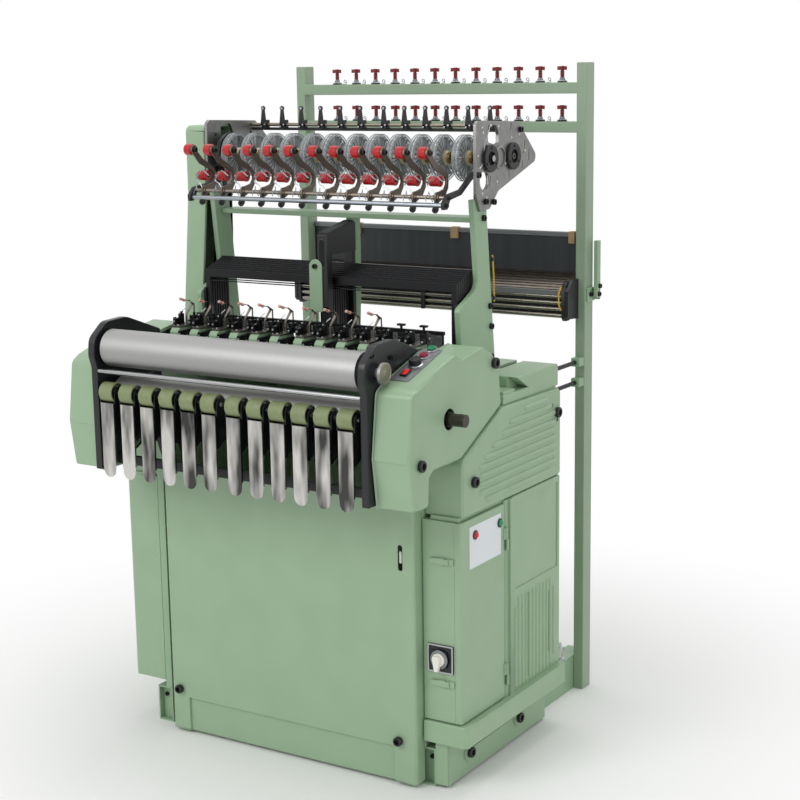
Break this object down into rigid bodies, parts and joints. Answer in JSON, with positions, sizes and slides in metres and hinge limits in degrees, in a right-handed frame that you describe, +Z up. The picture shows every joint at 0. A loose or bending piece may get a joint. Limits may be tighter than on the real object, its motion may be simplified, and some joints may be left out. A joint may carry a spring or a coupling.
{
  "type": "narrow fabric needle loom",
  "caption": "Upright ribbon loom with a row of weaving heads between two cheeks, heald frames, overhead yarn feed wheels and a rear thread rack.",
  "frame": {"origin": "on the floor, under the middle cross tube of the base, half way between the side frames", "axes": "+Z up, +X to the right of the weaver, +Y away from the weaver, who stands at -Y"},
  "size_m": [1.104, 1.1029, 1.78],
  "materials": {
    "sage_paint": "satin enamel",
    "panel_paint": "fine textured enamel",
    "door_paint": "fine textured enamel",
    "cover_paint": "fine textured enamel",
    "black_cast": "satin black enamel",
    "bright_steel": "ground",
    "take_up_steel": "ground, satin",
    "stainless": "polished",
    "chrome": "bright",
    "olive_rubber": "ground rubber",
    "belt_rubber": "moulded",
    "grey_casting": "satin",
    "sley_metal": "satin anodised",
    "black_anodised": "black anodised",
    "warp_sheet": "dark grey, satin",
    "black_plastic": "moulded",
    "dark_steel": "blackened",
    "arm_steel": "burnished",
    "clear_plastic": "clear moulded",
    "red_plastic": "moulded",
    "dark_red": "moulded",
    "cream_plastic": "moulded",
    "green_plastic": "moulded",
    "desk_sheet": "satin",
    "lamp_plastic": "clear",
    "motor_paint": "enamel"
  },
  "bodies": {
    "frame": {"base_frame": "sage_paint", "side_frames": "sage_paint", "breast_beam": "sage_paint", "rear_rack": "sage_paint", "side_arm": "sage_paint", "portal_beam": "sage_paint", "portal_posts": "sage_paint", "front_panel": "panel_paint", "left_casing": "panel_paint", "louvred_covers": "panel_paint", "cabinet_box": "panel_paint", "rear_housings": "panel_paint", "toggle_latches": "panel_paint", "right_casing": "door_paint", "right_front_cover": "cover_paint", "left_front_cover": "cover_paint", "belt_cover": "cover_paint", "roller_cheeks": "black_cast", "cheek_bars": "bright_steel", "yarn_rods": "bright_steel", "release_levers": "stainless", "warp_rollers": "chrome", "drive_belt": "belt_rubber", "feeder_side_plates": "grey_casting", "warp_stop_bed": "warp_sheet", "centre_guide": "black_plastic", "thread_arms": "black_plastic", "cover_screws": "black_plastic", "switch_plate": "black_plastic", "heald_guides": "black_plastic", "head_clamps": "dark_steel", "feed_arms": "arm_steel", "tensioners": "dark_red", "desk_plate": "desk_sheet", "motor": "motor_paint"},
    "main_shaft": {"main_shaft": "bright_steel"},
    "motor_rotor": {"motor_pulley": "motor_paint"},
    "feeder": {"feeder_shaft": "bright_steel", "feed_wheels": "clear_plastic"},
    "take_up": {"take_up_roller": "take_up_steel"},
    "nip": {"nip_roller": "bright_steel"},
    "press": {"press_rollers": "olive_rubber"},
    "upper_rollers": {"upper_yarn_rollers": "red_plastic"},
    "lower_spools": {"lower_yarn_spools": "red_plastic"},
    "sley": {"sley": "sley_metal"},
    "door": {"cabinet_door": "door_paint", "pilot_lamps": "lamp_plastic"},
    "switch_knob": {"switch_knob": "cream_plastic"},
    "speed_knob": {"speed_knob": "black_plastic"},
    "rocker": {"rocker_switch": "red_plastic"},
    "start_button": {"start_button": "green_plastic"},
    "stop_button": {"stop_button": "red_plastic"},
    "heald_1": {"heald_frame_1": "black_anodised"},
    "heald_2": {"heald_frame_2": "black_anodised"},
    "heald_3": {"heald_frame_3": "black_anodised"},
    "heald_4": {"heald_frame_4": "black_anodised"},
    "heald_5": {"heald_frame_5": "black_anodised"},
    "heald_6": {"heald_frame_6": "black_anodised"},
    "heald_7": {"heald_frame_7": "black_anodised"},
    "heald_8": {"heald_frame_8": "black_anodised"}
  },
  "joints": [
    {"name": "main_spin", "type": "hinge", "parent": "frame", "child": "main_shaft", "pos_m": [0, -0.464, 0.957], "axis": [1, 0, 0], "continuous": true},
    {"name": "motor_spin", "type": "hinge", "parent": "frame", "child": "motor_rotor", "pos_m": [-0.37, -0.195, 0.25], "axis": [1, 0, 0], "continuous": true},
    {"name": "feeder_spin", "type": "hinge", "parent": "frame", "child": "feeder", "pos_m": [0, -0.092, 1.546], "axis": [1, 0, 0], "continuous": true},
    {"name": "take_up_spin", "type": "hinge", "parent": "frame", "child": "take_up", "pos_m": [0, -0.615, 1.084], "axis": [1, 0, 0], "continuous": true},
    {"name": "nip_spin", "type": "hinge", "parent": "frame", "child": "nip", "pos_m": [0, -0.5866, 0.966], "axis": [1, 0, 0], "continuous": true},
    {"name": "press_spin", "type": "hinge", "parent": "frame", "child": "press", "pos_m": [0, -0.653, 0.977], "axis": [1, 0, 0], "continuous": true},
    {"name": "upper_roller_spin", "type": "hinge", "parent": "frame", "child": "upper_rollers", "pos_m": [0, -0.287, 1.568], "axis": [1, 0, 0], "continuous": true},
    {"name": "lower_spool_spin", "type": "hinge", "parent": "frame", "child": "lower_spools", "pos_m": [0, -0.225, 1.496], "axis": [1, 0, 0], "continuous": true},
    {"name": "sley_swing", "type": "hinge", "parent": "frame", "child": "sley", "pos_m": [0, -0.262, 0.62], "axis": [1, 0, 0], "range_deg": [-2.5, 3]},
    {"name": "door_swing", "type": "hinge", "parent": "frame", "child": "door", "pos_m": [0.531, -0.2036, 0.437], "axis": [0, 0, 1], "range_deg": [0, 110]},
    {"name": "switch_turn", "type": "hinge", "parent": "frame", "child": "switch_knob", "pos_m": [0.47, -0.43, 0.344], "axis": [0, -1, 0], "range_deg": [0, 90]},
    {"name": "speed_turn", "type": "hinge", "parent": "frame", "child": "speed_knob", "pos_m": [0.451, -0.50089, 1.08914], "axis": [0, -0.2964, 0.9551], "range_deg": [0, 300]},
    {"name": "rocker_tilt", "type": "hinge", "parent": "frame", "child": "rocker", "pos_m": [0.451, -0.54577, 1.07479], "axis": [1, 0, 0], "range_deg": [-12, 0]},
    {"name": "start_press", "type": "slide", "parent": "frame", "child": "start_button", "axis": [0, 0.2964, -0.9551], "range_m": [0, 0.003], "stiffness_N_per_m": 400},
    {"name": "stop_press", "type": "slide", "parent": "frame", "child": "stop_button", "axis": [0, 0.2964, -0.9551], "range_m": [0, 0.003], "stiffness_N_per_m": 400},
    {"name": "heald_1_lift", "type": "slide", "parent": "frame", "child": "heald_1", "axis": [0, 0, 1], "range_m": [-0.024, 0.024]},
    {"name": "heald_2_lift", "type": "slide", "parent": "frame", "child": "heald_2", "axis": [0, 0, 1], "range_m": [-0.024, 0.024]},
    {"name": "heald_3_lift", "type": "slide", "parent": "frame", "child": "heald_3", "axis": [0, 0, 1], "range_m": [-0.024, 0.024]},
    {"name": "heald_4_lift", "type": "slide", "parent": "frame", "child": "heald_4", "axis": [0, 0, 1], "range_m": [-0.024, 0.024]},
    {"name": "heald_5_lift", "type": "slide", "parent": "frame", "child": "heald_5", "axis": [0, 0, 1], "range_m": [-0.024, 0.024]},
    {"name": "heald_6_lift", "type": "slide", "parent": "frame", "child": "heald_6", "axis": [0, 0, 1], "range_m": [-0.024, 0.024]},
    {"name": "heald_7_lift", "type": "slide", "parent": "frame", "child": "heald_7", "axis": [0, 0, 1], "range_m": [-0.024, 0.024]},
    {"name": "heald_8_lift", "type": "slide", "parent": "frame", "child": "heald_8", "axis": [0, 0, 1], "range_m": [-0.024, 0.024]}
  ],
  "couplings": [
    {"joint": "motor_spin", "follows": "main_spin", "ratio": 1},
    {"joint": "feeder_spin", "follows": "main_spin", "ratio": 1},
    {"joint": "nip_spin", "follows": "take_up_spin", "ratio": -1.131},
    {"joint": "press_spin", "follows": "take_up_spin", "ratio": 1.9}
  ]
}
